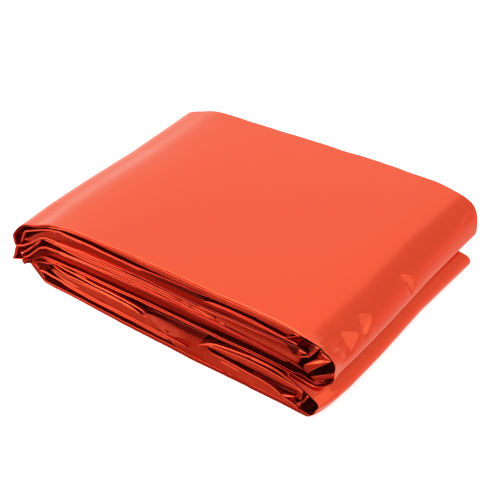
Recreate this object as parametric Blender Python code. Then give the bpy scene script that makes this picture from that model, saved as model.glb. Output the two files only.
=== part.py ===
"""Emergency foil blanket, folded: one long strip of film laid back and forth in fourteen passes.

The film is first folded to a strip as wide as the block, and the strip then goes back and forth.
Its upper passes are wrapped by the top sheet, which rolls round the right end and returns at
mid height. The lower passes are wrapped in the same way by the bottom sheet. At the left the
folds hang over, most of all at the front corner. The whole strip is one solid with a small gap
between its passes.

Working axes, in millimetres: x runs from the left folds to the right rolls, y from the front
edges to the back edges, and z up from the surface the block lies on.
"""

import math
from collections import namedtuple

import bmesh
import bpy
from mathutils import Vector

MM = 0.001

# Driving sizes, in millimetres
BLOCK_WIDTH = 100.9  # front edges to back edges
EDGE_ROUND = 0.8  # how deep the rounding of a front or back edge goes
EDGE_THIN = 0.5  # an edge's thickness there, as a share of the strip's
BACK_EASE = 0.6  # the back edges stand in and out by this share of the front edges' amounts
EDGE_WAVE = 0.35  # the edges wander by this much
WAVE_LENGTH = 47.0
WAVE_SHIFT = 0.35  # radians for each millimetre of height
OUTER_STEPS = 3  # points a span on the outer film, for smooth bends
NOSE_STEPS = 4  # points round a fold

# Where the heights of a pass are given, and how much of its full thickness it has there
X_HANG, X_DROP, X_BEND, X_LEVEL, X_FAR = -8.0, 0.0, 10.0, 30.0, 100.0
THIN_TIP, THIN_HANG, THIN_DROP, THIN_BEND, THIN_END = 0.5, 0.55, 0.7, 0.85, 0.8
THINNEST = 0.7

# The passes in the strip's own order, from its free end inside the upper part to the one inside
# the lower part. level, bend, drop and hang are heights of the middle of its thickness at the
# stations above; tip and end are its left and right ends; out is how far its front edge stands
# in front of the block's face, or behind it where negative. None: a pass ends before the station,
# or a roll carries it on.
Pass = namedtuple("Pass", "name thick level bend drop hang tip_x tip_z end_x end_z out")
PASSES = [
    Pass("upper_core_free", 1.4, 18.9, 17.7, 16.1, None, -3.0, 14.9, 121.5, 18.0, -3.0),
    Pass("upper_core_lip", 1.6, 21.7, 20.4, 18.6, 13.3, -16.6, 8.9, 121.5, 20.2, 0.1),
    Pass("upper_core_inner", 1.2, 24.0, 22.3, 20.7, 15.2, -17.3, 10.1, 116.8, 24.1, -1.3),
    Pass("upper_lip", 1.8, 26.3, 24.4, 22.9, 17.4, -14.8, 12.9, 116.8, 26.3, 0.3),
    Pass("upper_hollow", 1.2, 28.8, 27.1, 24.6, 19.6, -15.7, 14.1, 119.8, 28.8, -3.4),
    Pass("upper_second", 1.5, 31.2, 29.6, 26.4, 22.6, -13.0, 18.1, 119.8, 31.0, -0.7),
    Pass("top_sheet", 2.2, 35.3, 32.8, 28.9, 26.2, -14.7, 18.7, None, None, 0.9),
    Pass("middle_upper", 1.6, 15.7, 14.4, 13.8, 10.4, -18.9, 6.8, None, None, 0.2),
    Pass("middle_lower", 1.3, 13.2, 12.3, 11.8, 8.6, -18.4, 5.5, None, None, -2.4),
    Pass("bottom_sheet", 1.8, 0.9, 1.2, 1.8, None, -2.3, 2.2, None, None, 0.3),
    Pass("lower_lip", 1.5, 4.2, 3.9, 4.0, None, -2.9, 3.5, 119.0, 4.6, 0.2),
    Pass("lower_core_inner", 1.2, 6.6, 6.1, 6.1, None, -5.1, 5.0, 119.0, 6.7, -0.8),
    Pass("lower_core_lip", 1.3, 8.8, 8.3, 8.0, None, -5.6, 6.3, 117.5, 8.9, 0.1),
    Pass("lower_core_free", 1.3, 11.0, 10.4, 9.9, None, -7.0, 7.3, 117.5, 11.0, -1.0),
]

# The two rolls at the right end, along the middle of the film's thickness from the sheet that
# comes in to the one that leaves: where it lies at the front face and at the back face.
RollPoint = namedtuple("RollPoint", "front_x front_z back_x back_z thick")
UPPER_ROLL = [
    RollPoint(112.0, 35.3, 113.0, 35.4, 2.1),
    RollPoint(119.0, 34.4, 119.5, 34.5, 1.9),
    RollPoint(124.5, 32.4, 125.5, 32.9, 1.6),
    RollPoint(129.0, 30.0, 129.7, 30.6, 1.4),
    RollPoint(131.2, 26.8, 131.6, 27.2, 1.3),
    RollPoint(131.6, 22.8, 132.4, 22.0, 1.3),
    RollPoint(130.2, 19.4, 131.3, 18.0, 1.3),
    RollPoint(126.4, 16.8, 127.6, 15.6, 1.3),
    RollPoint(120.0, 15.9, 120.5, 15.4, 1.4),
]
LOWER_ROLL = [
    RollPoint(112.0, 13.9, 112.0, 13.1, 1.3),
    RollPoint(118.6, 13.4, 119.5, 12.8, 1.2),
    RollPoint(122.8, 11.6, 125.0, 11.6, 1.2),
    RollPoint(125.6, 8.9, 128.6, 9.0, 1.2),
    RollPoint(126.2, 5.6, 129.6, 5.6, 1.2),
    RollPoint(125.2, 2.6, 128.6, 2.7, 1.3),
    RollPoint(122.0, 1.2, 125.0, 1.2, 1.5),
    RollPoint(116.0, 0.9, 118.0, 0.9, 1.8),
]

# How much of the hang at the left is taken back, going from the front face to the back one
Slice = namedtuple("Slice", "y eased edge")
SLICES = [
    Slice(0.0, 0.0, True),
    Slice(EDGE_ROUND, 0.0, False),
    Slice(6.0, 0.12, False),
    Slice(16.0, 0.35, False),
    Slice(35.0, 0.5, False),
    Slice(64.0, 0.5, False),
    Slice(88.0, 0.8, False),
    Slice(BLOCK_WIDTH - EDGE_ROUND, 1.0, False),
    Slice(BLOCK_WIDTH, 1.0, True),
]
BACK_LIFT = 3.7  # the top sheet's left hang is this much less at the back
BACK_LIFT_BEND = 2.1
TIP_DRAWN_IN = 1.0  # and its left end this much nearer
TOP_LEVEL = 35.3

FOIL_COLOR = (0.86, 0.09, 0.035, 1.0)
FOIL_METALLIC = 0.55
FOIL_ROUGHNESS = 0.16

PathPoint = namedtuple("PathPoint", "x z thick out")


def clear_scene():
    for old in list(bpy.data.objects):
        bpy.data.objects.remove(old, do_unlink=True)


def pass_points(row, eased):
    """The points of one pass from its left tip to its right end, in a slice with this much ease."""
    lift = BACK_LIFT * eased * row.level / TOP_LEVEL
    lift_bend = BACK_LIFT_BEND * eased * row.level / TOP_LEVEL
    drawn_in = TIP_DRAWN_IN * eased * row.level / TOP_LEVEL
    stations = [(row.tip_x + drawn_in, row.tip_z + lift, THIN_TIP)]
    if row.hang is not None:
        stations.append((X_HANG, row.hang + lift, THIN_HANG))
    stations.append((X_DROP, row.drop + lift, THIN_DROP))
    stations.append((X_BEND, row.bend + lift_bend, THIN_BEND))
    stations.append((X_LEVEL, row.level, 1.0))
    stations.append((X_FAR, row.level, 1.0))
    if row.end_x is not None:
        stations.append((row.end_x, row.end_z, THIN_END))
    return [PathPoint(x, z, max(row.thick * share, THINNEST), row.out) for x, z, share in stations]


def roll_points(rows, eased, out_first, out_last):
    """The points of a roll, its edge going from one pass's amount to the other's."""
    points = []
    for index, row in enumerate(rows):
        along = index / (len(rows) - 1)
        x = row.front_x + (row.back_x - row.front_x) * eased
        z = row.front_z + (row.back_z - row.front_z) * eased
        points.append(PathPoint(x, z, row.thick, out_first + (out_last - out_first) * along))
    return points


def nose_points(first, last):
    """The half round that turns one pass into the next, bulging away from the passes."""
    middle = Vector(((first.x + last.x) / 2, (first.z + last.z) / 2))
    arm = Vector((first.x, first.z)) - middle
    side = Vector((-arm.y, arm.x))
    outward = -1.0 if first.x < (X_LEVEL + X_FAR) / 2 else 1.0
    if side.x * outward < 0:
        side.negate()
    points = []
    for step in range(1, NOSE_STEPS):
        share = step / NOSE_STEPS
        turn = math.pi * share
        place = middle + arm * math.cos(turn) + side * math.sin(turn)
        thick = first.thick + (last.thick - first.thick) * share
        out = first.out + (last.out - first.out) * share
        points.append(PathPoint(place.x, place.y, thick, out))
    return points


def rounded(points, steps):
    """More points on a smooth curve through these ones, so that the outer film has no corners."""
    finer = []
    for index in range(len(points) - 1):
        before = points[max(index - 1, 0)]
        start, end = points[index], points[index + 1]
        after = points[min(index + 2, len(points) - 1)]
        span = math.dist((start.x, start.z), (end.x, end.z))
        tangents = []
        for left, here, right in ((before, start, end), (start, end, after)):
            reach = math.dist((left.x, left.z), (right.x, right.z)) or 1.0
            tangents.append(((right.x - left.x) / reach * span, (right.z - left.z) / reach * span))
        for step in range(steps):
            t = step / steps
            keep, go = 2 * t**3 - 3 * t**2 + 1, -2 * t**3 + 3 * t**2
            leave, arrive = t**3 - 2 * t**2 + t, t**3 - t**2
            x = keep * start.x + go * end.x + leave * tangents[0][0] + arrive * tangents[1][0]
            z = keep * start.z + go * end.z + leave * tangents[0][1] + arrive * tangents[1][1]
            thick = start.thick + (end.thick - start.thick) * t
            out = start.out + (end.out - start.out) * t
            finer.append(PathPoint(x, z, thick, out))
    return finer + [points[-1]]


def strip_path(eased):
    """The middle of the strip's thickness from end to end, in a slice with this much ease."""
    runs = {row.name: pass_points(row, eased) for row in PASSES}
    out = {row.name: row.out for row in PASSES}
    upper_roll = roll_points(UPPER_ROLL, eased, out["top_sheet"], out["middle_upper"])
    lower_roll = roll_points(LOWER_ROLL, eased, out["middle_lower"], out["bottom_sheet"])
    wrap = rounded(runs["top_sheet"] + upper_roll + runs["middle_upper"][::-1], OUTER_STEPS)
    under = rounded(runs["middle_lower"] + lower_roll + runs["bottom_sheet"][::-1], OUTER_STEPS)
    stretches = [
        runs["upper_core_free"],
        runs["upper_core_lip"][::-1],
        runs["upper_core_inner"],
        runs["upper_lip"][::-1],
        runs["upper_hollow"],
        runs["upper_second"][::-1],
        wrap,
        under,
        runs["lower_lip"],
        runs["lower_core_inner"][::-1],
        runs["lower_core_lip"],
        runs["lower_core_free"][::-1],
    ]
    path = list(stretches[0])
    for stretch in stretches[1:]:
        path += nose_points(path[-1], stretch[0])
        path += stretch
    return path


def both_faces(path, thin):
    """The points on the two faces of the film, half its thickness to either side of the path."""
    faces = []
    for index, point in enumerate(path):
        before = path[max(index - 1, 0)]
        after = path[min(index + 1, len(path) - 1)]
        along = Vector((after.x - before.x, after.z - before.z)).normalized()
        half = point.thick / 2 * thin
        left = (point.x - along.y * half, point.z + along.x * half)
        right = (point.x + along.y * half, point.z - along.x * half)
        faces.append((left, right))
    return faces


def edge_shift(slice_row, point):
    """How far a point goes along y because its pass stands out or in and its edge wanders."""
    wave = EDGE_WAVE * math.sin(2 * math.pi * point.x / WAVE_LENGTH + WAVE_SHIFT * point.z)
    from_front = 1.0 - slice_row.y / BLOCK_WIDTH
    front = -(point.out + wave) * from_front
    back = (point.out * BACK_EASE - wave) * (1.0 - from_front)
    return front + back


def lofted_strip():
    """The strip as one closed solid, lofted through its slices from the front edge to the back."""
    mesh = bmesh.new()
    rings = []
    for slice_row in SLICES:
        path = strip_path(slice_row.eased)
        sides = both_faces(path, EDGE_THIN if slice_row.edge else 1.0)
        ring = []
        for point, pair in zip(path, sides):
            y = slice_row.y + edge_shift(slice_row, point)
            ring.append([mesh.verts.new((x * MM, y * MM, max(z, 0.0) * MM)) for x, z in pair])
        rings.append(ring)
    count = len(rings[0])
    for near, far in zip(rings, rings[1:]):
        for index in range(count - 1):
            for side in (0, 1):
                mesh.faces.new(
                    (near[index][side], near[index + 1][side], far[index + 1][side], far[index][side])
                )
        for end in (0, count - 1):
            mesh.faces.new((near[end][0], near[end][1], far[end][1], far[end][0]))
    for ring in (rings[0], rings[-1]):
        for index in range(count - 1):
            here, following = ring[index], ring[index + 1]
            mesh.faces.new((here[0], here[1], following[1], following[0]))
    bmesh.ops.recalc_face_normals(mesh, faces=mesh.faces)
    return mesh


def settle_on_origin(mesh):
    """Puts the middle of the block's footprint over the origin, with its underside at z = 0."""
    lowest = Vector([min(vert.co[axis] for vert in mesh.verts) for axis in range(3)])
    highest = Vector([max(vert.co[axis] for vert in mesh.verts) for axis in range(3)])
    middle = (lowest + highest) / 2
    bmesh.ops.translate(mesh, verts=mesh.verts, vec=(-middle.x, -middle.y, -lowest.z))


def foil_material():
    material = bpy.data.materials.new("orange_red_foil")
    material.use_nodes = True
    shader = material.node_tree.nodes["Principled BSDF"]
    shader.inputs["Base Color"].default_value = FOIL_COLOR
    shader.inputs["Metallic"].default_value = FOIL_METALLIC
    shader.inputs["Roughness"].default_value = FOIL_ROUGHNESS
    return material


def foil_blanket():
    mesh = lofted_strip()
    settle_on_origin(mesh)
    data = bpy.data.meshes.new("foil_blanket")
    mesh.to_mesh(data)
    mesh.free()
    data.shade_smooth()
    data.set_sharp_from_angle(angle=math.radians(40))
    data.materials.append(foil_material())
    return bpy.data.objects.new("foil_blanket", data)


def main():
    clear_scene()
    collection = bpy.data.collections.new("folded_emergency_foil_blanket")
    bpy.context.scene.collection.children.link(collection)
    collection.objects.link(foil_blanket())


main()
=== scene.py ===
import math

import bmesh
import bpy
import numpy as np
from mathutils import Matrix, Vector


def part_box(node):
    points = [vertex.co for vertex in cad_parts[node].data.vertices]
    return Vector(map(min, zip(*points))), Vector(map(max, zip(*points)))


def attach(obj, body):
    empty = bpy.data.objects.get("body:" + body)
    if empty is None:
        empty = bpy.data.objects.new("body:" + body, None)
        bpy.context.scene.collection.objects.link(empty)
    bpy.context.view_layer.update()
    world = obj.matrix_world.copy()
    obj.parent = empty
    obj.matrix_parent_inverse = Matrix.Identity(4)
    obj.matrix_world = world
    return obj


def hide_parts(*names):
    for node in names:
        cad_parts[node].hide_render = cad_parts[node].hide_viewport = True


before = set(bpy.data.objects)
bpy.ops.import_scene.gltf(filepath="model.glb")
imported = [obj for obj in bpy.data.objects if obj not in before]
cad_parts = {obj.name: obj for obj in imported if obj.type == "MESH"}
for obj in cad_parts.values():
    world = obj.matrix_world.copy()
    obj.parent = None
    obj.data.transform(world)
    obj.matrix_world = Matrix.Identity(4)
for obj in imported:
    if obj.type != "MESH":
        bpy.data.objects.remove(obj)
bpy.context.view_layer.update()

mm = 0.001

# Everything below is laid out in the block's own millimetres: x from the left folds to the
# right rolls, y from the front face back, z up. These numbers tie them to the CAD node.
blockAxes = {"leftmostX": -19.65, "frontmostY": -1.25, "width": 100.9}
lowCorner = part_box("foil_blanket")[0]


def toWorld(points):
    shift = np.array([lowCorner.x - blockAxes["leftmostX"] * mm,
                      lowCorner.y - blockAxes["frontmostY"] * mm, 0.0])
    return np.asarray(points, float) * mm + shift


viewSetup = {
    "standsAt": (240.4, -177.1, 223.7),
    "azimuth": 38.02,      # degrees, turned left from looking straight back
    "elevation": 36.15,
    "roll": -2.51,
    "lens": 66.1, "sensor": 36,
    "clip": (0.01, 50),
}


def makeCamera():
    turn, tip, roll = (math.radians(viewSetup[k]) for k in ("azimuth", "elevation", "roll"))
    ahead = Vector((-math.sin(turn) * math.cos(tip), math.cos(turn) * math.cos(tip),
                    -math.sin(tip)))
    side = ahead.cross(Vector((0, 0, 1))).normalized()
    up = side.cross(ahead)
    sideRolled = side * math.cos(roll) + up * math.sin(roll)
    upRolled = up * math.cos(roll) - side * math.sin(roll)
    data = bpy.data.cameras.new("studioCamera")
    data.lens = viewSetup["lens"]
    data.sensor_width = viewSetup["sensor"]
    data.clip_start, data.clip_end = viewSetup["clip"]
    camera = bpy.data.objects.new("studioCamera", data)
    bpy.context.scene.collection.objects.link(camera)
    turned = Matrix((sideRolled, upRolled, -ahead)).transposed().to_4x4()
    camera.matrix_world = Matrix.Translation(toWorld(viewSetup["standsAt"])) @ turned
    bpy.context.scene.camera = camera
    print("camera set")


studioLight = {
    "tent": (0.99, 0.99, 0.99, 1),
    "backdrop": 1.0,        # what the camera itself sees behind the floor
    # cards hung in the tent for the film to mirror: azimuth and elevation of the middle,
    # where the edge starts and ends as a cosine from the middle, colour
    "cards": {
        "backRight": (44.5, 20, 0.765, 0.82, (0.76, 0.58, 0.52, 1)),
        "frontLow": (218, -36, 0.45, 0.90, (0.42, 0.13, 0.11, 1)),
        "backLow": (20, -50, 0.42, 0.80, (0.88, 0.56, 0.49, 1)),
        "leftKey": (262, 40, 0.89, 0.955, (1.7, 1.66, 1.62, 1)),
        "frontKey": (226, 30, 0.93, 0.968, (2.2, 2.05, 1.95, 1)),
    },
    "lampWatts": 7.0, "lampSize": 1.6, "lampHeight": 1.5,
}


def pointedAt(azimuth, elevation):
    # a direction of length one: degrees to the right of straight back, and degrees up
    turn, tip = math.radians(azimuth), math.radians(elevation)
    return math.sin(turn) * math.cos(tip), math.cos(turn) * math.cos(tip), math.sin(tip)


def makeLights():
    world = bpy.data.worlds.new("studioTent")
    world.use_nodes = True
    nodes, links = world.node_tree.nodes, world.node_tree.links
    tent, output = nodes["Background"], nodes["World Output"]
    place = nodes.new("ShaderNodeTexCoord")
    paint = None
    for azimuth, elevation, start, full, color in studioLight["cards"].values():
        towards = nodes.new("ShaderNodeVectorMath")
        towards.operation = "DOT_PRODUCT"
        towards.inputs[1].default_value = pointedAt(azimuth, elevation)
        edge = nodes.new("ShaderNodeMapRange")
        edge.interpolation_type = "SMOOTHSTEP"
        edge.inputs["From Min"].default_value = start
        edge.inputs["From Max"].default_value = full
        card = nodes.new("ShaderNodeMix")
        card.data_type = "RGBA"
        links.new(place.outputs["Generated"], towards.inputs[0])
        links.new(towards.outputs["Value"], edge.inputs["Value"])
        links.new(edge.outputs["Result"], card.inputs["Factor"])
        card.inputs["A"].default_value = studioLight["tent"]
        card.inputs["B"].default_value = color
        if paint:
            links.new(paint, card.inputs["A"])
        paint = card.outputs["Result"]
    links.new(paint, tent.inputs["Color"])
    plain = nodes.new("ShaderNodeBackground")
    plain.inputs["Strength"].default_value = studioLight["backdrop"]
    rays, either = nodes.new("ShaderNodeLightPath"), nodes.new("ShaderNodeMixShader")
    links.new(rays.outputs["Is Camera Ray"], either.inputs["Fac"])
    links.new(tent.outputs["Background"], either.inputs[1])
    links.new(plain.outputs["Background"], either.inputs[2])
    links.new(either.outputs["Shader"], output.inputs["Surface"])
    bpy.context.scene.world = world
    lamp = bpy.data.lights.new("overheadPanel", "AREA")
    lamp.size = studioLight["lampSize"]
    lamp.energy = studioLight["lampWatts"]
    holder = bpy.data.objects.new("overheadPanel", lamp)
    holder.location = (0, 0, studioLight["lampHeight"])
    bpy.context.scene.collection.objects.link(holder)
    bpy.context.scene.view_settings.view_transform = "Standard"
    print("studio lit")


floorLook = {"size": 8, "drop": 0.0002, "color": (0.96, 0.96, 0.96, 1), "roughness": 0.9,
             "glow": 0.65}


def makeFloor():
    bpy.ops.object.select_all(action="DESELECT")
    bpy.ops.mesh.primitive_plane_add(size=floorLook["size"], location=(0, 0, -floorLook["drop"]))
    floor = bpy.context.object
    floor.name = "paleFloor"
    material = bpy.data.materials.new("palePaper")
    material.use_nodes = True
    shader = material.node_tree.nodes["Principled BSDF"]
    shader.inputs["Base Color"].default_value = floorLook["color"]
    shader.inputs["Roughness"].default_value = floorLook["roughness"]
    shader.inputs["Emission Color"].default_value = floorLook["color"]
    shader.inputs["Emission Strength"].default_value = floorLook["glow"]
    floor.data.materials.append(material)
    floor.visible_glossy = False     # the film mirrors the tent's low cards, not the paper
    print("floor laid")


foilLook = {
    "color": (0.92, 0.097, 0.034, 1),
    "edgeColor": (1.0, 0.86, 0.78, 1),     # seen along the film
    # painted shade, by a per-point attribute: deep red on film that lies deeper between the folds,
    # near-black painted shadow at the bottom of the folds
    "shadedColor": (0.45, 0.011, 0.003, 1), "shadedAt": 0.5,
    "shadowColor": (0.045, 0.0008, 0.0003, 1),
    "metallic": 1.0,
    "roughness": 0.17,
    "coat": 0.3,
    "coatRoughness": 0.05,
    "crinkle": 0.10, "crinkleScale": 160, "crinkleDetail": 3, "crinkleHeight": 0.0004,
    # painted glow: the film emits a little light in its own colour
    "glow": 0.008,         # light that comes through the film
}


def makeFoil():
    material = bpy.data.materials.new("orangeRedFoil")
    material.use_nodes = True
    nodes, links = material.node_tree.nodes, material.node_tree.links
    shader = nodes["Principled BSDF"]
    shader.inputs["Metallic"].default_value = foilLook["metallic"]
    shader.inputs["Roughness"].default_value = foilLook["roughness"]
    shader.inputs["Specular Tint"].default_value = foilLook["edgeColor"]
    shader.inputs["Coat Weight"].default_value = foilLook["coat"]
    shader.inputs["Coat Roughness"].default_value = foilLook["coatRoughness"]
    # the per-point painted shade picks the base colour: the film's own, then painted shade, then
    # near-black painted shadow
    dye = nodes.new("ShaderNodeAttribute")
    dye.attribute_name = "dye"
    shadeRamp = nodes.new("ShaderNodeValToRGB")
    shadeRamp.color_ramp.elements[0].color = foilLook["color"]
    shadeRamp.color_ramp.elements[1].color = foilLook["shadowColor"]
    shadeRamp.color_ramp.elements.new(foilLook["shadedAt"]).color = foilLook["shadedColor"]
    links.new(dye.outputs["Fac"], shadeRamp.inputs["Fac"])
    links.new(shadeRamp.outputs["Color"], shader.inputs["Base Color"])
    shader.inputs["Emission Color"].default_value = foilLook["color"]
    shader.inputs["Emission Strength"].default_value = foilLook["glow"]
    place = nodes.new("ShaderNodeTexCoord")
    crinkle = nodes.new("ShaderNodeTexNoise")
    crinkle.inputs["Scale"].default_value = foilLook["crinkleScale"]
    crinkle.inputs["Detail"].default_value = foilLook["crinkleDetail"]
    bump = nodes.new("ShaderNodeBump")
    bump.inputs["Strength"].default_value = foilLook["crinkle"]
    bump.inputs["Distance"].default_value = foilLook["crinkleHeight"]
    links.new(place.outputs["Object"], crinkle.inputs["Vector"])
    links.new(crinkle.outputs["Fac"], bump.inputs["Height"])
    links.new(bump.outputs["Normal"], shader.inputs["Normal"])
    return material


stationX = (-8, 0, 10, 30, 62, 83, 100, 113)
# The strip's fourteen passes. Each has its thickness, the heights of its middle at the stations
# above, and its left and right ends. None: the pass stops short, or a roll carries it on.
passRows = {
    "upperFree": dict(thick=2.2, heights=(None, 16.2, 17.8, 18.7, 18.8, 18.3, 18.4, 18.3),
                      tip=(-3.0, 14.9), end=(121.5, 17.6)),
    "fourthLip": dict(thick=1.8, heights=(13.4, 18.4, 20.3, 21.3, 22.0, 21.3, 20.4, 20.3),
                      tip=(-16.6, 8.9), end=(121.5, 19.6)),
    "smoothPanel": dict(thick=1.8, heights=(15.3, 20.8, 22.4, 24.1, 24.3, 24.5, 24.5, 24.5),
                        tip=(-17.3, 10.1), end=(116.8, 24.5)),
    "thirdLip": dict(thick=1.7, heights=(17.5, 23.0, 24.3, 26.1, 26.3, 26.7, 27.0, 27.1),
                     tip=(-14.8, 12.9), end=(118.5, 26.9)),
    "redHollow": dict(thick=2.2, heights=(19.8, 24.7, 27.1, 28.8, 29.2, 28.9, 28.9, 28.9),
                      tip=(-15.7, 14.1), end=(119.8, 28.9)),
    "secondLip": dict(thick=1.3, heights=(22.7, 26.3, 29.6, 30.9, 31.4, 30.6, 30.7, 30.3),
                      tip=(-13.0, 18.1), end=(119.8, 30.8)),
    "topSheet": dict(thick=2.1, heights=(26.3, 28.9, 32.7, 35.2, 35.5, 35.5, 35.4, 35.2),
                     tip=(-15.0, 19.7), end=None),
    "middleUpper": dict(thick=1.1, heights=(9.9, 14.5, 15.5, 16.2, 16.4, 16.7, 16.9, 16.8),
                        tip=(-18.9, 6.8), rimTip=(-12.5, 6.7), end=None),
    "middleLower": dict(thick=1.3, heights=(8.4, 11.9, 12.4, 13.2, 13.5, 14.2, 14.4, 14.4),
                        tip=(-18.4, 5.5), rimTip=(-11.6, 6.2), end=None),
    "bottomSheet": dict(thick=1.1, heights=(None, 1.8, 1.3, 0.8, 0.7, 0.7, 0.7, 0.7),
                        tip=(-2.3, 2.4), end=None),
    "lowerLip": dict(thick=1.5, heights=(None, 5.6, 5.0, 4.2, 3.8, 3.6, 3.4, 3.4),
                     tip=(-2.9, 4.4), end=(117.0, 4.2)),
    "lowerInner": dict(thick=1.6, heights=(None, 7.2, 7.0, 6.6, 6.1, 5.9, 5.6, 5.5),
                       tip=(-5.1, 6.0), end=(117.0, 6.4)),
    "lowerSecond": dict(thick=1.5, heights=(None, 8.9, 9.0, 8.8, 8.4, 8.2, 8.1, 8.1),
                        tip=(-5.6, 7.3), end=(116.5, 8.9)),
    "lowerFree": dict(thick=1.5, heights=(None, 10.5, 11.0, 11.1, 10.6, 11.3, 12.0, 11.8),
                      tip=(1.0, 10.6), end=(116.5, 11.0)),
}
# shares of a pass's thickness at its two ends and at the leftmost stations, and the least thickness
thinning = {"tip": 0.5, -8: 0.55, 0: 0.7, 10: 0.85, "end": 0.85}
thinnest = 0.6
# the top sheet's own end hangs as a flap at the left: x, z, thickness
hangingFlap = ((-15.4, 14.3, 0.5), (-15.7, 17.0, 0.5))

# The rolls, along the middle of the film: x and z a little behind the front, x and z at the back,
# x and z of the rim at the very front, thickness
upperRoll = [
    (119.0, 34.4, 119.5, 34.6, 119.4, 34.4, 1.8),
    (124.5, 32.4, 125.8, 33.2, 124.2, 33.9, 1.3),
    (129.0, 30.0, 130.1, 31.0, 128.6, 32.6, 1.0),
    (131.5, 26.8, 132.2, 27.4, 132.9, 29.4, 0.8),
    (131.8, 22.8, 133.0, 21.6, 132.8, 24.6, 0.8),
    (130.3, 19.4, 132.3, 17.5, 132.4, 20.9, 0.8),
    (126.4, 16.8, 128.4, 15.0, 125.6, 15.2, 1.0),
    (120.0, 16.4, 120.5, 15.5, 119.6, 16.3, 1.1),
]
lowerRoll = [
    (118.8, 14.6, 119.5, 13.2, 118.0, 12.2, 1.1),
    (125.0, 13.4, 126.0, 12.5, 122.2, 10.4, 1.0),
    (128.4, 11.0, 131.4, 10.2, 125.6, 8.9, 0.9),
    (129.1, 7.8, 132.8, 7.0, 127.0, 7.4, 0.9),
    (127.3, 4.0, 131.8, 3.5, 126.0, 4.9, 0.9),
    (126.1, 1.7, 128.6, 1.3, 124.8, 2.2, 0.9),
    (123.2, 0.8, 124.4, 0.8, 122.9, 0.9, 1.1),
]
# right of here are the rolls, which take finer places
fineFrom = 116.0
# how far back the rim's own shape reaches
rimReach = 9.0
# how the left end differs at the back: it lies higher, the more so the higher the pass, and it is
# drawn in. Heights count at one station, against the top sheet's.
hangEase = {"lift": 3.7, "liftBend": 2.1, "drawnIn": 1.0, "countsAt": 30, "fullHeight": 35.3}
# how far a section has turned from its front shape to its back shape, by depth
easeAt = ((0, 0), (6, 0.12), (16, 0.35), (35, 0.5), (64, 0.5), (88, 0.8), (100.9, 1))


def easedAt(y):
    places, shares = zip(*easeAt)
    return np.interp(y, places, shares)


def rimAt(y):
    return np.clip(1 - max(y, 0.0) / rimReach, 0, 1) ** 2


def passPoints(name, form):
    row = passRows[name]
    eased = 1.0 if form == "back" else 0.0
    countsAt = stationX.index(hangEase["countsAt"])
    high = row["heights"][countsAt] / hangEase["fullHeight"] * eased
    lift, liftBend = hangEase["lift"] * high, hangEase["liftBend"] * high
    full = row["thick"]
    tipX, tipZ = row.get("rimTip", row["tip"]) if form == "rim" else row["tip"]
    inwards = hangEase["drawnIn"] * high
    rises = {-8: lift, 0: lift, 10: liftBend}
    points = [(tipX + inwards, tipZ + lift, full * thinning["tip"])]
    if name == "topSheet":
        points = [(x + inwards, z + lift, thick) for x, z, thick in hangingFlap] + points
    for x, z in zip(stationX, row["heights"]):
        if z is not None:
            points.append((x, z + rises.get(x, 0.0), full * thinning.get(x, 1.0)))
    if row["end"]:
        points.append((*row["end"], full * thinning["end"]))
    return [(x, z, max(t, thinnest)) for x, z, t in points]


def rollPoints(rows, form):
    first = {"front": 0, "back": 2, "rim": 4}[form]
    return [(row[first], row[first + 1], row[-1]) for row in rows]


def curved(points, steps=16):
    # a smooth curve through the points, steps places to a span
    p = np.array(points, float)
    ahead, behind = np.roll(p, -1, 0), np.roll(p, 1, 0)
    ahead[-1], behind[0] = p[-1], p[0]
    reach = np.hypot(*(ahead - behind)[:, :2].T)[:, None]
    slope = (ahead - behind) / reach
    t = np.arange(steps)[:, None] / steps
    spans = []
    for here, there, leave, arrive in zip(p, p[1:], slope, slope[1:]):
        span = math.dist(here[:2], there[:2])
        spans.append((2 * t**3 - 3 * t**2 + 1) * here + (3 * t**2 - 2 * t**3) * there
                     + span * ((t**3 - 2 * t**2 + t) * leave + (t**3 - t**2) * arrive))
    return np.vstack(spans + [p[-1:]])


def noseAround(first, last, outward, steps=9):
    # the half round that turns one pass into the next
    middle, arm = (first + last) / 2, (first - last) / 2
    side = np.array([-arm[1], arm[0], 0])
    side *= outward if side[0] > 0 else -outward
    turns = np.pi * np.arange(1, steps) / steps
    bend = middle[:2] + np.outer(np.cos(turns), arm[:2]) + np.outer(np.sin(turns), side[:2])
    thick = first[2] + (last[2] - first[2]) * np.arange(1, steps) / steps
    return np.column_stack([bend, thick])


def placesAlong(x, z, spacing, bendPlaces):
    # even places along a line, with more of them where it bends. The spacing may change along it.
    gone = np.concatenate([[0], np.cumsum(np.hypot(np.diff(x), np.diff(z)))])
    turn = np.unwrap(np.arctan2(np.diff(z), np.diff(x)))
    bend = np.concatenate([[0], np.abs(np.diff(turn)), [0]])
    pace = np.concatenate([[0], np.cumsum(np.diff(gone) / spacing + bend[1:] * bendPlaces)])
    return pace, gone, np.linspace(0, pace[-1], int(pace[-1]) + 1)


# passes that end left of the block's middle turn leftwards into the next
blockMiddle = 60.0
# how many more places a bend gets
bendShare = 2.6


def routeOf(stretches, spacing, onRolls):
    # joins passes and rolls into one route, in each of its three forms
    routes = {}
    for form in ("front", "back", "rim"):
        whole, marks = [], []
        for index, points in enumerate(stretches):
            run = points(form)
            if index:
                outward = -1.0 if run[0][0] < blockMiddle else 1.0
                bend = noseAround(whole[-1][-1], np.array(run[0], float), outward)
                whole.append(bend)
                marks.append(np.full(len(bend), index - 0.5))
            dense = curved(run)
            whole.append(dense)
            marks.append(np.full(len(dense), float(index)))
        routes[form] = np.vstack(whole)
    front = routes["front"]
    spacings = np.where(front[1:, 0] > fineFrom, onRolls, spacing)
    pace, gone, wanted = placesAlong(front[:, 0], front[:, 1], spacings, bendShare)
    columns = dict(thick=front[:, 2], mark=np.concatenate(marks), gone=gone)
    for form, places in routes.items():
        columns[form + "X"], columns[form + "Z"] = places[:, 0], places[:, 1]
    return {name: np.interp(wanted, pace, column) for name, column in columns.items()}


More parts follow.
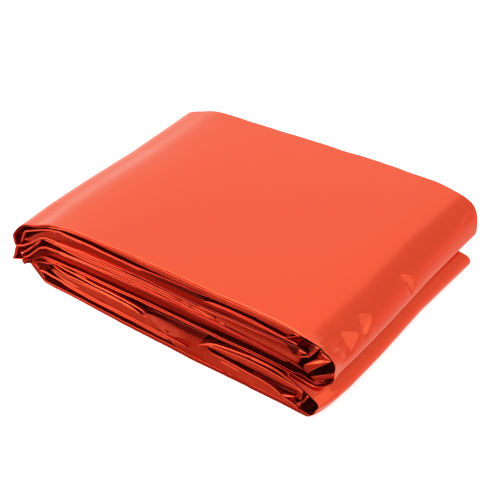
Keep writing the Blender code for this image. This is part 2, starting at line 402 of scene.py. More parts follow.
def sectionAt(route, y):
    # the route as it runs at one depth, with its normals
    eased, rim = easedAt(y), rimAt(y)
    x, z = (route["front" + axis] * (1 - eased - rim) + route["back" + axis] * eased
            + route["rim" + axis] * rim for axis in "XZ")
    return x, z, *normalsOf(x, z)


def normalsOf(x, z):
    dx, dz = np.gradient(x), np.gradient(z)
    size = np.hypot(dx, dz)
    return -dz / size, dx / size


# an uneven line's waves: length and share of the height. A seed turns each by its own amount.
waveShares = ((71, 0.9), (43, 0.7), (27, 0.5), (15.5, 0.32), (8.7, 0.2), (4.9, 0.14), (2.7, 0.1))
waveBuild = {"height": 0.6, "turn": 2.3, "moreTurn": 1.7}


def wander(x, seed, size):
    # an uneven line: a few waves that never line up
    total = np.zeros_like(x)
    for index, (length, share) in enumerate(waveShares):
        turn = seed * (waveBuild["turn"] + waveBuild["moreTurn"] * index) + index
        total += share * np.sin(2 * np.pi * x / length + turn)
    return total * size * waveBuild["height"]


def meshObject(name, verts, faces, dye):
    data = bpy.data.meshes.new(name)
    data.from_pydata(toWorld(verts).tolist(), [], faces)
    # the per-point painted shade, which the foil's ramp turns into darker colour
    dyed = data.attributes.new("dye", "FLOAT", "POINT")
    dyed.data.foreach_set("value", np.asarray(dye, np.float32))
    bm = bmesh.new()
    bm.from_mesh(data)
    bmesh.ops.recalc_face_normals(bm, faces=bm.faces)
    bm.to_mesh(data)
    bm.free()
    data.shade_smooth()
    obj = bpy.data.objects.new(name, data)
    bpy.context.scene.collection.objects.link(obj)
    return obj


def bandFaces(count, ring):
    # the places of a closed band, count rings of ring places, and the quads around it
    index = np.arange(count * ring).reshape(count, ring)
    a, b = index[:-1], index[1:]
    quads = np.stack([a, np.roll(a, -1, 1), np.roll(b, -1, 1), b], -1).reshape(-1, 4).tolist()
    return index, quads


# rings of points from an edge inwards, in millimetres, and how far in the lip is rounded
lipDepths = (0.0, 0.1, 0.3, 0.6, 1.0, 1.6, 2.6, 4.2, 7.0, 11.0)
lipRadius = 0.75


def filmTube(route, offset, half, frontY, backY, between, press):
    # a flattened tube of film along the route: rounded lips at the front and the back, flat between
    count = len(route["frontX"])
    inner = np.linspace(0, 1, between + 2)[1:-1]
    near, far = frontY + lipDepths[-1], backY - lipDepths[-1]
    ys = [frontY + d for d in lipDepths] + [near + (far - near) * w for w in inner]
    ys += [backY - d for d in lipDepths[::-1]]
    edge = [*lipDepths, *lipDepths[-1:] * between, *lipDepths[::-1]]
    rows = []
    for side in (1.0, -1.0):
        order = range(len(ys)) if side > 0 else range(len(ys) - 2, 0, -1)
        for k in order:
            y, d = ys[k], edge[k]
            x, z, nx, nz = sectionAt(route, float(np.mean(y)))
            fall = math.sqrt(1 - (1 - min(d / lipRadius, 1)) ** 2)
            high = half * fall * side + offset
            if press:
                high = high - press(x, y, z, nx, nz)
            rows.append(np.column_stack([x + nx * high, y, z + nz * high]))
    verts = np.stack(rows, 1)          # route place, ring place, xyz
    ring = verts.shape[1]
    index, quads = bandFaces(count, ring)
    last = len(ys) - 1
    for end in (0, count - 1):
        top = [int(index[end, k]) for k in range(last + 1)]
        low = [int(index[end, -k % ring]) for k in range(last)] + [top[last]]
        for k in range(last):
            corners = (top[k], top[k + 1], low[k + 1], low[k])
            quad = [c for place, c in enumerate(corners) if c not in corners[:place]]
            if len(quad) > 2:
                quads.append(quad)
    return verts.reshape(-1, 3), quads


class FilmStack:
    # gathers tubes and patches of film that make one piece
    def __init__(self):
        self.verts, self.faces, self.dye, self.count, self.area = [], [], [], 0, 0.0

    # each tube comes with its painted shade, one value or one per point
    def add(self, tube, dye, area):
        points, quads = tube
        self.verts.append(points)
        self.faces += [[i + self.count for i in quad] for quad in quads]
        self.dye.append(np.full(len(points), 1.0) * dye)
        self.count += len(points)
        self.area += area

    def build(self, name):
        return meshObject(name, np.vstack(self.verts), self.faces, np.concatenate(self.dye))


def passRun(name, leftward=False):
    return lambda form: passPoints(name, form)[::-1] if leftward else passPoints(name, form)


def wrapRun(first, roll, last):
    return lambda form: (passPoints(first, form) + rollPoints(roll, form)
                         + passPoints(last, form)[::-1])


# The folded strip's three visible lengths. out: how far each pass stands out at the front. spacing:
# millimetres between places along the passes and on the rolls. between: rings of places across
# the flat part of each of the two films. The inner folds get painted shade all over.
foldRows = {
    "upperFolds": dict(
        stretches=[passRun("upperFree"), passRun("fourthLip", True), passRun("smoothPanel"),
                   passRun("thirdLip", True), passRun("redHollow"), passRun("secondLip", True)],
        out=(-4.0, -4.4, -4.4, -4.4, -5.0, -4.5), spacing=(3.0, 3.0), between=(4, 4), dye=0.75),
    "outerWrap": dict(
        stretches=[wrapRun("topSheet", upperRoll, "middleUpper"),
                   wrapRun("middleLower", lowerRoll, "bottomSheet")],
        out=(0.4, 0.1), spacing=(3.2, 0.55), between=(90, 8)),
    "lowerFolds": dict(
        stretches=[passRun("lowerLip"), passRun("lowerInner", True), passRun("lowerSecond"),
                   passRun("lowerFree", True)],
        out=(-3.0, -3.4, -3.8, -4.2), spacing=(3.0, 3.0), between=(4, 4), dye=0.75),
}
# the two films: where each lies in the thickness and its own half thickness, both as shares, and
# how much further it stands out
filmLayers = ((0.26, 0.2, 0.0), (-0.26, 0.2, -0.25))
# how far the films' front and back edges wander, and what parts one edge's waves from another's
edgeWander = {"front": 0.22, "back": 0.4, "perPass": 37.0, "perFilm": 3.1, "atBack": 5}
# only for the outer wrap
wrapLook = {
    # its middle pass lies under this height, and gets painted shade, deeper towards the right: x,
    # painted shade
    "middleUnder": 18.5, "middleShade": ((30, 118), (0.0, 0.5)),
    # Its lower pass hides behind the others, which leaves a dark wedge at the front: how far it
    # lies back, above which height, and where it starts and stops, each with how far it eases.
    "hiddenOut": -5.0, "hiddenAbove": 10.0, "hiddenFrom": (2, 12), "hiddenTo": (116, 8),
    # where the two rolls face each other, with its painted shade by x, which near the front, over
    # so many millimetres, reaches further out
    "facingFrom": 112, "facingUnder": 18.4, "facingOver": 11.6,
    "facingShade": ((112, 122, 129), (0.55, 0.35, 0.0)), "facingOut": 3.5, "facingDeep": 10.0,
    # the inner film on the rolls: from which x, how far it is set back and eases, and its painted
    # shade:
    # near-black painted shadow, lighter in the upper roll's mouth under a height
    "insideRolls": 117.5, "innerSetBack": 0.9, "innerEase": 2, "mouthUnder": 18, "mouthShade": 0.6,
    # the lower roll's back end is drawn in towards its top, right of an x
    "drawnInFrom": 119.0, "drawnIn": 6.5, "drawnInTop": 14.0,
}


def wrapEdges(route, lower, layer, outs):
    # how far the wrap stands out in front, and how much less its back reaches
    look = wrapLook
    x, z = route["frontX"], route["frontZ"]
    start, startEase = look["hiddenFrom"]
    stop, stopEase = look["hiddenTo"]
    hidden = np.clip((x - start) / startEase, 0, 1) * np.clip((stop - x) / stopEase, 0, 1)
    hides = lower & (z > look["hiddenAbove"])
    outs = np.where(hides, outs + (look["hiddenOut"] - outs) * hidden, outs)
    if layer:
        eased = np.clip((x - look["insideRolls"]) / look["innerEase"], 0, 1)
        outs = outs - look["innerSetBack"] * eased
    drawnIn = look["drawnIn"] * (z / look["drawnInTop"]) ** 2
    return outs, np.where(lower & (x > look["drawnInFrom"]), drawnIn, 0.0)


def wrapShade(route, lower, layer, tube):
    # the wrap's painted shade at each place of one film: in its middle pass, inside the rolls and
    # where they face each other
    look = wrapLook
    x, z = route["frontX"], route["frontZ"]
    middle = ~lower & (z < look["middleUnder"]) & (x < fineFrom)
    dye = np.where(middle, np.interp(x, *look["middleShade"]), 0.0)
    if layer:
        inside = np.where(~lower & (z < look["mouthUnder"]), look["mouthShade"], 1.0)
        dye = np.maximum(dye, inside * (x > look["insideRolls"]))
    facing = (x > look["facingFrom"]) & np.where(lower, z > look["facingOver"],
                                                 z < look["facingUnder"])
    ring = len(tube) // len(x)
    nearFront = np.clip(1 - tube[:, 1] / look["facingDeep"], 0, 1)
    places = np.repeat(x, ring) - look["facingOut"] * nearFront
    facingShade = np.repeat(facing, ring) * np.interp(places, *look["facingShade"])
    return np.maximum(np.repeat(dye, ring), facingShade)


def buildFolds(name):
    row = foldRows[name]
    route = routeOf(row["stretches"], *row["spacing"])
    standsOut = np.interp(route["mark"], np.arange(len(row["out"])), row["out"])
    lower = route["mark"] > 0.5
    # each pass wanders by itself
    place = route["frontX"] + edgeWander["perPass"] * np.round(route["mark"])
    seed = len(name)
    thick = route["thick"]
    stack = FilmStack()
    for layer, (offsetShare, halfShare, more) in enumerate(filmLayers):
        outs, drawnIn, press = standsOut, 0.0, None
        if name == "outerWrap":
            outs, drawnIn = wrapEdges(route, lower, layer, standsOut)
            outerShare = sum(filmLayers[0][:2])
            press = clearOf(route) if layer else pressedFilm(route, thick * outerShare)
        frontY = wander(place, seed + layer * edgeWander["perFilm"], edgeWander["front"])
        frontY = frontY - (outs + more)
        backY = wander(place, seed + edgeWander["atBack"] + layer, edgeWander["back"])
        backY = backY + blockAxes["width"] - drawnIn
        tube = filmTube(route, thick * offsetShare, thick * halfShare, frontY, backY,
                        row["between"][layer], press)
        # painted shade: the wrap's from its places, the inner folds' one value
        dye = wrapShade(route, lower, layer, tube[0]) if name == "outerWrap" else row["dye"]
        stack.add(tube, dye, route["gone"][-1] * blockAxes["width"])
    return stack


# Flat facets pressed into the upper roll: three corners as y and z, the azimuth and elevation that
# the facet faces, and how far the press fades out around it
rollFacets = [
    dict(corners=((47.1, 31.7), (52.9, 26.4), (49.7, 23.2)), faces=(112, 20), fade=1.0),
    dict(corners=((20.5, 31.7), (26.3, 30.2), (19.5, 26.0)), faces=(112, 26), fade=1.0),
    dict(corners=((10.4, 31.7), (17.0, 28.0), (10.8, 25.5)), faces=(112, 22), fade=1.0),
    dict(corners=((6.0, 31.5), (7.8, 31.8), (9.4, 24.9)), faces=(112, 20), fade=0.7),
    dict(corners=((91.5, 30.8), (96.5, 28.2), (94.6, 27.4)), faces=(112, 26), fade=0.6),
]


# the roll's outer face lies above this height
faceAbove = 18.0
# small sharp dents near the upper rim: where, how far they reach, how deep, and the waves whose
# ridges they are, each as its turn per millimetre along y and z and its start
rimCrumples = {"y": 0.8, "z": 31.0, "reachY": 2.2, "reachZ": 2.6, "deep": 0.3,
               "waves": ((1.9, 1.3, 0), (1.1, -2.1, 1))}
# how far the inner film keeps off the outer face, and over what depth at its two edges it eases
innerClear = {"gap": 2.4, "over": 2.5}


def onUpperRoll(route, x):
    return (route["mark"] < 0.5) & (x > fineFrom)


def pressedFilm(route, high):
    # how far the facets are pressed into the outer face of the upper roll
    planes = []
    for facet in rollFacets:
        facing = np.array(pointedAt(*facet["faces"]))
        lowest = min(outerFace(route, high, y, z) @ facing for y, z in facet["corners"])
        planes.append((facing, lowest, facet))

    def press(x, y, z, nx, nz):
        outer = np.column_stack([x + nx * high, y, z + nz * high])
        push = rimCrumple(outer[:, 1], outer[:, 2])
        for facing, lowest, facet in planes:
            over = np.maximum(outer @ facing - lowest, 0)
            near = np.clip(1 - farFrom(outer[:, 1:], facet["corners"]) / facet["fade"], 0, 1)
            push = np.maximum(push, over * near)
        return np.where(onUpperRoll(route, x) & (z > faceAbove), push, 0.0)
    return press


def rimCrumple(y, z):
    row = rimCrumples
    near = np.exp(-((y - row["y"]) / row["reachY"]) ** 2 - ((z - row["z"]) / row["reachZ"]) ** 2)
    dents = sum(np.abs(np.sin(alongY * y + alongZ * z + start))
                for alongY, alongZ, start in row["waves"])
    return row["deep"] * near * dents


def clearOf(route):
    # keeps the inner film clear of the facets, except at its two edges
    behindFace = onUpperRoll(route, route["frontX"]) & (route["frontZ"] > faceAbove)

    def press(x, y, z, nx, nz):
        share = np.minimum(y, blockAxes["width"] - y) / innerClear["over"]
        return behindFace * innerClear["gap"] * np.clip(share, 0, 1)
    return press


def outerFace(route, high, y, z):
    # the place on the upper roll's outer face at depth y and height z
    x, middle, nx, nz = sectionAt(route, y)
    onRoll = onUpperRoll(route, route["frontX"])
    heights, xs = (values[onRoll][::-1] for values in (middle + nz * high, x + nx * high))
    return np.array([np.interp(z, heights, xs), y, z])


def crossed(a, b):
    # twice the area between two flat arrows
    return a[..., 0] * b[..., 1] - a[..., 1] * b[..., 0]


def farFrom(places, corners):
    # how far the places are from a triangle
    a, b, c = (np.array(corner) for corner in corners)
    shares = [crossed(p - places, q - places) for p, q in ((b, c), (c, a), (a, b))]
    inside = (np.column_stack(shares) / crossed(b - a, c - a) >= 0).all(1)
    far = np.full(len(places), np.inf)
    for start, end in ((a, b), (b, c), (c, a)):
        run = end - start
        along = np.clip((places - start) @ run / (run @ run), 0, 1)
        far = np.minimum(far, np.hypot(*(places - start - along[:, None] * run).T))
    return np.where(inside, 0.0, far)


def linedUp(x, z, y):
    # the place at depth y that lies behind (x, z) of the front plane as the camera stands
    cx, cy, cz = viewSetup["standsAt"]
    share = y / -cy
    return x + (x - cx) * share, z + (z - cz) * share


# Front edges of the films, top to bottom, as the camera sees them on the front plane.
# line: x, z of the upper side and height. out: how far the lower side stands out. tilt: degrees
# that the face leans back. bow: over 1 keeps the lean to the lower part. The painted shade: at even
# places from the left end to the right, darker where the film lies in shade. shade: more painted
# shade at the top, by x. upright: heights are measured straight down.
upperEdges = {
    "bundleLip": dict(
        line=[(7, 31.6, 0.4), (12, 33.1, 0.7), (17, 34.0, 1.0), (30, 34.9, 1.6), (62, 35.3, 2.5),
              (90, 35.4, 2.6), (108, 35.2, 2.4), (116, 34.4, 1.6), (120, 33.4, 0.5)],
        out=0.35, tilt=26, radius=0.3, crinkle=1.6, dye=(0.0, 0.1)),
    "secondLip": dict(
        line=[(-12.3, 16.6, 0.7), (-8.6, 23.3, 0.9), (-5, 25.3, 0.9), (5, 29.6, 0.9),
              (12, 31.5, 0.9), (17, 31.5, 1.0), (30, 31.5, 1.1), (52, 31.5, 0.8), (60, 31.8, 0.7),
              (70, 32.4, 0.7), (84, 32.7, 0.4)],
        out=0.1, dye=(0.0, 0.6)),
    "lensShade": dict(
        line=[(40, 30.6, 0.3), (52, 30.7, 0.8), (62, 31.2, 1.3), (72, 31.9, 1.8), (78, 31.9, 1.7),
              (83, 30.8, 0.6)],
        out=-0.8, radius=0.2, dye=(0.6, 0.85)),
    "upperHollow": dict(
        line=[(83.5, 33.0, 1.2), (90, 33.1, 1.8), (104, 33.2, 2.2), (112, 33.0, 2.6),
              (118, 33.2, 1.6)],
        out=-1.7, tilt=5, dye=(0.5, 0.6)),
    "leftFace": dict(
        line=[(-9.8, 19.3, 0.7), (-7, 21.5, 2.2), (-3, 24.7, 3.0), (3, 28.4, 3.6), (8, 30.2, 4.4),
              (13, 30.7, 3.2), (19, 30.9, 1.6), (25, 31.0, 0.4)],
        out=-0.1, tilt=24, radius=0.2, dye=(0.0, 0.2)),
    "redWall": dict(
        line=[(8, 30.2, 3.8), (17, 31.0, 4.6), (30, 31.0, 3.9), (46, 31.0, 3.4), (60, 30.9, 3.4),
              (72, 30.8, 3.2), (83, 30.2, 2.6), (95, 30.6, 2.9), (112, 30.0, 2.0),
              (119, 29.8, 1.3)],
        out=-0.2, tilt=14, bow=1.8, dye=(0.22, 0.36)),
    "secondLipRight": dict(
        line=[(81, 29.9, 0.4), (84, 30.8, 0.7), (90, 31.2, 0.8), (100, 31.1, 0.8), (109, 30.6, 0.6),
              (114.2, 30.3, 0.5), (116, 31.4, 0.5), (119.2, 33.3, 0.4)],
        out=-0.1, radius=0.5, dye=(0.35, 0.45)),
    "thirdLip": dict(
        line=[(-20.3, 5.2, 0.5), (-18.4, 8.8, 1.2), (-15.7, 13.9, 1.2), (-12, 15.7, 1.2),
              (-8, 18.1, 1.2), (0.5, 24.1, 1.2), (3, 25.0, 1.2), (9, 25.6, 1.2), (17.2, 26.0, 1.1),
              (27, 26.8, 1.0), (50, 27.5, 0.8), (65, 27.4, 0.7), (80, 27.5, 0.6), (92, 28.0, 0.6),
              (108, 28.4, 0.6), (119, 28.7, 0.5), (121.9, 28.4, 0.4)],
        out=0.2, dye=(0.0, 0.12, 0.5, 0.75, 0.85)),
    "tipUnder": dict(
        line=[(-20.2, 5.7, 0.4), (-15, 7.7, 0.6), (-12.2, 8.9, 0.5)],
        depth=4.0),
    "innerFilm": dict(
        line=[(-12.6, 11.8, 0.8), (-9, 14.8, 1.1), (-5, 18.3, 1.2), (-1.5, 21.4, 1.1),
              (0.8, 23.5, 0.6)]),
    "firstBand": dict(
        line=[(2.5, 24.5, 0.7), (10, 24.9, 1.0), (22, 25.5, 1.1), (35, 26.1, 1.1), (50, 26.4, 1.0),
              (64, 26.4, 1.0), (78, 26.5, 0.6)],
        tilt=29, radius=0.2, dye=(0.05, 0.35)),
    "secondBand": dict(
        line=[(6, 24.1, 0.7), (22, 24.6, 1.0), (35, 25.2, 1.1), (46, 25.5, 1.0), (60, 25.5, 1.1),
              (77, 24.9, 1.0), (86, 24.3, 0.5)],
        out=0.05, tilt=27, radius=0.25, dye=(0.1, 0.15)),
    "thirdBand": dict(
        line=[(10, 23.8, 0.6), (22, 23.6, 1.0), (35, 24.2, 1.3), (50, 24.5, 1.6), (62, 24.4, 2.0),
              (77, 23.9, 1.6), (90, 23.6, 0.9)],
        tilt=29, radius=0.2, dye=(0.1, 0.15)),
    "smoothPanel": dict(
        line=[(64, 26.0, 0.6), (78, 26.6, 2.6), (90, 26.9, 4.3), (100, 27.2, 5.0), (110, 27.4, 5.6),
              (120.5, 27.2, 6.4)],
        out=-0.1, tilt=23, bow=1.5, dye=(0.05, 0.25), shade=((0, 0.3),)),
    "fourthLip": dict(
        line=[(-13, 9.3, 0.8), (-10, 11.2, 1.0), (-6, 14.7, 1.1), (-1.6, 18.5, 1.1),
              (2.5, 20.3, 1.2), (11, 21.4, 1.2), (17, 21.7, 1.1), (30, 22.3, 1.0), (50, 23.2, 0.9),
              (64, 23.1, 0.7), (77, 22.8, 0.7), (90, 22.7, 0.8), (104, 22.0, 0.8), (115, 21.3, 0.8),
              (121.4, 20.0, 0.5)],
        out=0.15, dye=(0.0, 0.12, 0.4, 0.52, 0.65)),
    "fourthUnder": dict(
        line=[(2, 19.7, 0.6), (11, 20.6, 0.7), (30, 21.4, 0.9), (50, 22.4, 1.5), (64, 22.5, 1.8),
              (77, 22.1, 1.9), (90, 21.9, 2.0), (104, 21.1, 1.4), (115, 20.4, 0.8)],
        out=-0.1, tilt=22, radius=0.2, dye=(0.0, 0.1, 0.25, 0.5)),
    # painted shade: a recessed wall darkened almost to black
    "fifthWall": dict(
        line=[(-8.5, 11.0, 0.8), (-4, 14.9, 1.8), (0, 18.2, 3.4), (6, 19.3, 3.9), (15, 20.0, 4.0),
              (30, 20.8, 4.4), (60, 21.0, 4.6), (90, 20.4, 3.8), (108, 20.0, 3.4),
              (120, 19.0, 2.8)],
        out=-2.0, tilt=4, radius=0.2, dye=(0.7, 0.8, 0.86, 0.9, 0.93, 0.97)),
}
lowerEdges = {
    "leftWall": dict(
        line=[(-9.9, 8.4, 1.2), (-6.6, 5.1, 2.4), (-3.3, 1.8, 2.4), (-2.0, 1.0, 1.4)],
        out=-0.3, depth=100, flip=True, dye=(0.3, 0.3)),
    "leftInner": dict(
        line=[(-7.4, 10.3, 0.4), (-3.9, 7.3, 0.6)],
        out=-0.1),
    "underFifth": dict(
        line=[(1.5, 14.0, 0.5), (8.3, 14.2, 0.6), (17.8, 14.4, 0.5), (24, 14.3, 0.3)],
        out=-0.4),
    "longFilm": dict(
        line=[(7, 14.3, 0.4), (13.2, 13.9, 0.7), (24.1, 13.3, 0.9), (33, 13.1, 0.9),
              (41, 12.7, 0.8), (48, 12.1, 0.7), (52.5, 11.3, 0.5)],
        out=0.1, depth=7),
    "shortFilm": dict(
        line=[(5, 12.9, 0.4), (10.3, 11.6, 0.6), (19.4, 11.5, 0.65), (28, 11.4, 0.7),
              (36.6, 11.2, 0.8), (45.1, 10.6, 0.8), (50.3, 9.2, 0.4)],
        out=0.1, radius=0.8, depth=7),
    "lowerWall": dict(
        line=[(4.5, 10.8, 0.6), (8, 10.3, 2.2), (14, 10.0, 3.4), (20, 10.1, 4.0), (36, 10.3, 4.6),
              (45, 9.9, 4.3), (52, 9.5, 3.9), (55, 9.0, 3.7), (58, 8.0, 2.7), (60.5, 7.0, 1.7),
              (62.5, 6.2, 0.5)],
        out=0.2, depth=1.2, tilt=27, radius=0.2, upright=True, dye=(0.2, 0.05, 0.05, 0.1, 0.2)),
    "tongueFilm": dict(
        line=[(4.0, 10.4, 0.4), (7.5, 8.5, 0.6), (13, 7.5, 0.8), (18.8, 7.5, 0.3)],
        out=0.2, depth=5),
    "lowLip": dict(
        line=[(-4, 6.7, 0.6), (-1, 7.1, 0.9), (2, 6.9, 1.0), (9.3, 6.5, 1.1), (18.3, 5.9, 1.0),
              (31.4, 5.6, 1.0), (46.9, 5.3, 1.0), (57.5, 4.8, 0.8), (65, 4.8, 0.6), (69, 4.7, 0.4),
              (72, 4.5, 0.2)],
        out=0.3, depth=1.4, dye=(0.1, 0.3, 0.3, 0.35)),
    "lowUnder": dict(
        line=[(8, 5.6, 0.4), (20, 4.9, 0.8), (30, 4.6, 0.9), (46, 4.4, 1.2), (57, 3.9, 1.3),
              (66, 3.6, 0.8)],
        tilt=28, radius=0.2, dye=(0.0, 0.15)),
    "lowShade": dict(
        line=[(-3, 5.8, 2.4), (5, 5.7, 3.2), (15, 4.8, 2.8), (30, 4.0, 2.4), (46, 3.4, 1.6),
              (54, 3.0, 0.6)],
        out=-2.2, tilt=4, dye=(0.85, 0.3)),
    "curvedLip": dict(
        line=[(76.8, 8.2, 0.4), (81.8, 11.4, 1.2), (86.9, 12.8, 1.5), (94, 13.8, 1.5),
              (104, 14.5, 1.3), (110.5, 14.1, 1.1), (116, 12.3, 0.9), (121.4, 10.2, 0.4)],
        out=0.35, radius=0.7, dye=(0.0, 0.45)),
    "curvedUnder": dict(
        line=[(80, 10.1, 0.8), (86.9, 11.4, 1.8), (98, 12.4, 2.8), (108, 12.2, 2.7),
              (115, 11.4, 2.2), (121.3, 10.3, 0.8)],
        tilt=26, radius=0.2, dye=(0.0, 0.15)),
    # painted shade: a recessed wall, darker at the left
    "innerWall": dict(
        line=[(79.5, 9.6, 2.6), (82, 9.4, 3.4), (90, 9.3, 3.6), (100, 9.7, 4.6), (108, 10.0, 5.6),
              (114, 9.9, 6.8), (119, 9.6, 5.0)],
        out=-3.4, tilt=4, dye=(0.9, 0.5)),
    # painted shade: a recessed wall darkened almost to black
    "underWall": dict(
        line=[(46, 12.8, 0.4), (52, 14.2, 2.4), (60, 14.8, 3.4), (70, 15.1, 3.8), (78, 15.4, 3.8),
              (82, 15.4, 1.6)],
        out=-2.8, tilt=4, dye=(0.85, 0.8)),
    "lowPanel": dict(
        line=[(51, 10.9, 0.4), (54, 11.5, 2.6), (58, 11.7, 5.5), (63, 11.8, 8.7), (68, 12.3, 11.2),
              (74, 12.3, 11.2), (76.8, 11.8, 10.7), (78.4, 9.8, 8.7), (79.6, 7.8, 6.7),
              (81.5, 7.0, 5.9), (85, 7.0, 6.0), (90.2, 6.8, 5.9), (99.6, 6.2, 5.5), (105, 5.8, 5.1),
              (109, 4.9, 4.2), (112, 3.5, 2.9), (116, 2.5, 1.9), (119, 1.5, 0.7)],
        out=0.1, tilt=25.5, radius=0.2, depth=1.5, upright=True, dye=(0.25, 0.12, 0.0, 0.0),
        shade=((55, 0.3), (64, 0.8), (77.5, 1.0), (81, 0.2), (119, 0.15))),
    "shortLip": dict(
        line=[(82.5, 4.9, 0.3), (86, 5.5, 0.6), (90, 5.6, 0.7), (95, 5.3, 0.6), (102, 4.2, 0.3)],
        out=-1.1, depth=3.0, dye=(0.3, 0.2)),
    "bottomLip": dict(
        line=[(-2.5, 2.4, 0.7), (5, 2.1, 0.8), (18, 1.8, 1.1), (30, 1.4, 1.35), (60, 1.1, 1.7),
              (90, 1.1, 1.7), (108, 1.1, 1.7), (119, 1.1, 1.6), (124, 0.8, 1.2)],
        out=0.6, tilt=22, radius=0.12, dye=(0.0, 0.3)),
}
# depth: how far back the film goes. radius: of its rounded corners. crinkle: how much it wavers.
# flip: heights are measured up instead of down.
edgeDefaults = {"out": 0.0, "depth": 12.0, "radius": 0.6, "tilt": 0.0, "bow": 1.0,
                "dye": (0.0, 0.0), "shade": ((0, 0.0),), "crinkle": 1.0, "flip": False,
                "upright": False}
# what all the front edges share
edgeBuild = {
    "spacing": 0.8, "bendShare": 2.0,
    "risePerDepth": 0.93,   # how much higher a place one millimetre further back looks in front
    "endTaper": 1.6, "endThick": 0.2,       # the ends taper over a length, to a share
    "frontWander": 0.16, "heightWander": 0.05,
    "heightWaves": (1.3, 1.1),              # shorter by a factor, and from another seed
    "cornerTurns": (90, 60, 30, 0),         # degrees round a rounded corner, from its side
    "faceShares": (0.9, 0.8, 0.65, 0.45, 0.2),      # down the face between the corners
    "flatShares": (1, 0.4, 0.2), "nearestFlat": 2.0,    # along the film, back to front
    "leanEnds": 12.0,       # how far back a leaning film stands straight again
    "shadePower": 7,        # over 1 keeps the shade to the upper part
    "lowest": 0.05,         # no film goes under the floor
    "seedStep": 1.9,
}


def frontFilm(stack, row, seed):
    # one film's front edge: a closed band, rounded at its two front corners
    row, build = {**edgeDefaults, **row}, edgeBuild
    dense = curved(row["line"])
    pace, gone, wanted = placesAlong(*dense.T[:2], build["spacing"], build["bendShare"])
    x, z, seen, along = (np.interp(wanted, pace, column) for column in (*dense.T, gone))
    nx, nz = normalsOf(x, z)
    if row["flip"]:
        nx, nz = -nx, -nz
    if row["upright"]:
        nx, nz = 0 * x, 1 + 0 * z
    ends = np.minimum(along, along[-1] - along)
    seen = seen * np.clip(np.sqrt(ends / build["endTaper"] + build["endThick"] ** 2), 0, 1)
    slope = math.tan(math.radians(row["tilt"]))
    thick = seen / (1 + build["risePerDepth"] * slope)
    x, z = linedUp(x - nx * seen, z - nz * seen, -row["out"])
    front = wander(x, seed, build["frontWander"] * row["crinkle"]) - row["out"]
    stretch, otherSeed = build["heightWaves"]
    z = z + wander(x * stretch, seed + otherSeed, build["heightWander"] * row["crinkle"])
    corner = np.minimum(row["radius"], thick * 0.5)
    # each ring place: how far back, and how high above the lower side
    back = row["depth"] + row["out"]
    *flat, nearest = (back * share for share in build["flatShares"])
    flat.append(min(nearest, build["nearestFlat"]))
    turns = [math.radians(turn) for turn in build["cornerTurns"]]
    rounded = [(corner * (1 - math.cos(t)), corner * (1 - math.sin(t))) for t in turns]
    steps = [(d, thick) for d in flat]
    steps += [(d, thick - high) for d, high in rounded]
    steps += [(0.0, corner + (thick - 2 * corner) * share) for share in build["faceShares"]]
    steps += rounded[::-1]
    steps += [(d, 0.0 * thick) for d in flat[::-1]]
    rows = []
    for d, high in steps:
        lean = thick * slope * (1 - (1 - high / thick) ** row["bow"])
        lean = lean * np.clip(1 - d / max(back, build["leanEnds"]), 0, 1)
        rows.append(np.column_stack([x + nx * high, front + lean + d, z + nz * high]))
    verts = np.stack(rows, 1)
    verts[..., 2] = np.maximum(verts[..., 2], build["lowest"])
    index, quads = bandFaces(*verts.shape[:2])
    quads += [index[0].tolist(), index[-1, ::-1].tolist()]
    shares = np.column_stack([high / thick for _, high in steps])
    # painted shade along the film, plus more painted shade towards its upper side
    dye = np.interp(along, np.linspace(0, along[-1], len(row["dye"])), row["dye"])
    shade = np.interp(x, *zip(*row["shade"]))
    dye = dye[:, None] + shade[:, None] * shares ** build["shadePower"]
    stack.add((verts.reshape(-1, 3), quads), dye.reshape(-1), along[-1] * back)
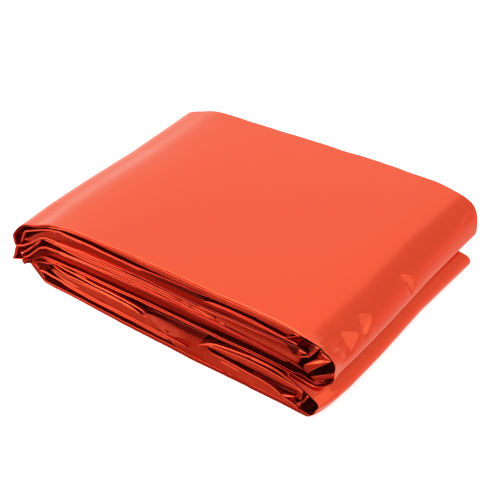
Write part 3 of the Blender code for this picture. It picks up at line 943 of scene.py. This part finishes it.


# Loose bits in the mouths of the rolls and at the left end: four corners as x, y, z, where x and z
# are as seen on the front plane, how far the middle swells, and the painted shade, which makes some
# of them dark sheets in the hollows
looseBits = {
    "flapLining": dict(
        corners=((-15.6, 1.2, 19.4), (-12.0, 3.0, 22.0), (-10.0, 3.0, 15.8), (-15.4, 1.2, 12.8)),
        belly=0.2, dye=0.6),
    # painted shade: a dark sheet at the back of the left hollow
    "hollowBack": dict(
        corners=((-6.9, 0.6, 10.7), (0.8, 1.2, 13.9), (3.8, 1.2, 10.3), (-3.6, 0.6, 7.0)),
        belly=-0.2, dye=0.78),
    "panelShade": dict(
        corners=((114.6, 0.9, 27.9), (119.3, 0.9, 28.3), (119.1, 0.6, 25.3), (117.4, 0.5, 24.7)),
        belly=0.0, dye=0.85),
    "turnedUp": dict(
        corners=((114.5, 2.2, 30.3), (119.0, 1.8, 33.2), (126.0, 3.0, 32.3), (120.8, 2.2, 28.4)),
        belly=-0.5, dye=0.6),
    "zigFacet": dict(
        corners=((119.0, 0.2, 25.7), (119.5, 0.6, 28.2), (122.1, 0.6, 28.3), (122.8, 0.2, 27.7)),
        belly=0.2, dye=0.0),
    "zigEdge": dict(
        corners=((119.3, 0.0, 24.8), (122.9, 0.1, 27.0), (123.3, 0.1, 26.5), (120.0, 0.0, 24.5)),
        belly=0.1, dye=0.0),
    "risingFilm": dict(
        corners=((122.6, 0.3, 26.6), (125.9, 0.6, 32.4), (127.4, 0.6, 32.5), (123.6, 0.3, 26.6)),
        belly=0.25, dye=0.0),
    "tongue": dict(
        corners=((121.5, 0.0, 22.2), (126.3, 2.0, 28.0), (131.7, 1.5, 29.2), (123.3, -0.2, 20.2)),
        belly=0.5, dye=0.0),
    "tongueUpper": dict(
        corners=((126.3, 2.0, 28.0), (127.6, 3.0, 31.9), (129.7, 2.5, 30.8), (131.7, 1.5, 29.2)),
        belly=0.1, dye=0.15),
    "tongueFoot": dict(
        corners=((121.4, 0.0, 22.0), (123.3, -0.2, 20.3), (123.2, 0.2, 19.4), (121.6, 0.3, 20.0)),
        belly=0.1, dye=0.35),
    "fanUpper": dict(
        corners=((124.0, 0.2, 18.6), (132.8, 0.6, 24.7), (132.8, 0.8, 23.2), (124.6, 0.4, 18.3)),
        belly=0.25, dye=0.0),
    "fanLower": dict(
        corners=((124.6, 0.6, 18.2), (132.8, 1.0, 23.1), (132.8, 1.3, 22.4), (125.4, 0.8, 17.7)),
        belly=0.1, dye=0.3),
    "fanBack": dict(
        corners=((125.0, 1.6, 17.6), (132.7, 1.8, 22.4), (132.5, 0.5, 21.3), (125.2, 0.5, 15.3)),
        belly=-0.2, dye=0.5),
    "crumpleLong": dict(
        corners=((111.6, 0.0, 3.2), (112.6, 0.0, 4.3), (118.1, 0.5, 6.4), (117.6, 0.5, 5.5)),
        belly=0.35, dye=0.0),
    "crumpleFoot": dict(
        corners=((117.7, 0.0, 0.8), (119.0, 0.4, 4.0), (121.0, 0.6, 5.9), (119.6, 0.0, 2.6)),
        belly=0.25, dye=0.0),
    "crumpleTop": dict(
        corners=((118.0, 1.0, 6.4), (119.4, 1.2, 9.6), (121.0, 1.0, 10.0), (120.4, 0.7, 5.6)),
        belly=0.2, dye=0.2),
    "crumpleEdge": dict(
        corners=((120.4, 0.4, 5.0), (122.8, 0.8, 9.6), (123.5, 0.6, 9.2), (121.2, 0.2, 5.2)),
        belly=0.15, dye=0.1),
}
# rimThick: the share of the thickness at the rim, and how steeply it grows inwards
bitBuild = {"thick": 0.22, "rimThick": (0.25, 4), "steps": 8, "sheetWidth": 10.0}


def loosePatch(corners, belly):
    # a thin closed pillow between the four corners
    steps = bitBuild["steps"]
    c00, c10, c11, c01 = (np.array((*linedUp(x, z, y), y))[[0, 2, 1]] for x, y, z in corners)
    even = np.linspace(0, 1, steps + 1)
    u, v = (way[..., None] for way in np.meshgrid(even, even, indexing="ij"))
    grid = c00 * (1 - u) * (1 - v) + c10 * u * (1 - v) + c11 * u * v + c01 * (1 - u) * v
    across = np.cross(c10 - c00, c01 - c00)
    area = np.linalg.norm(across)
    facing = -across / area if across[1] > 0 else across / area
    grid = grid + facing * belly * np.sin(np.pi * u) * np.sin(np.pi * v)
    least, steepness = bitBuild["rimThick"]
    rim = np.clip(np.minimum.reduce([u, v, 1 - u, 1 - v]) * steepness, least, 1)
    half = facing * bitBuild["thick"] / 2 * rim
    verts = np.vstack([(grid + half).reshape(-1, 3), (grid - half).reshape(-1, 3)])
    count = (steps + 1) ** 2
    index = np.arange(count).reshape(steps + 1, steps + 1)
    top = np.stack([index[:-1, :-1], index[1:, :-1], index[1:, 1:], index[:-1, 1:]], -1)
    top = top.reshape(-1, 4)
    faces = top.tolist() + (top[:, ::-1] + count).tolist()
    border = np.concatenate([index[:, 0], index[-1, 1:], index[-2::-1, -1], index[0, -2::-1]])
    for here, there in zip(border[:-1].tolist(), border[1:].tolist()):
        faces.append([here, there, there + count, here + count])
    return (verts, faces), area


def finishPiece(name, stack, foil):
    piece = stack.build(name)
    piece.data.materials.append(foil)
    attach(piece, "root")
    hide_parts("foil_blanket")
    print(name, "built:", len(piece.data.polygons), "faces")


def main():
    makeCamera()
    makeLights()
    makeFloor()
    foil = makeFoil()
    for name in foldRows:
        finishPiece(name, buildFolds(name), foil)
    for name, rows in (("upperEdges", upperEdges), ("lowerEdges", lowerEdges)):
        stack = FilmStack()
        for place, row in enumerate(rows.values()):
            frontFilm(stack, row, place * edgeBuild["seedStep"] + len(name))
        finishPiece(name, stack, foil)
    stack = FilmStack()
    for row in looseBits.values():
        tube, area = loosePatch(row["corners"], row["belly"])
        stack.add(tube, row["dye"], area)
    finishPiece("looseBits", stack, foil)


main()
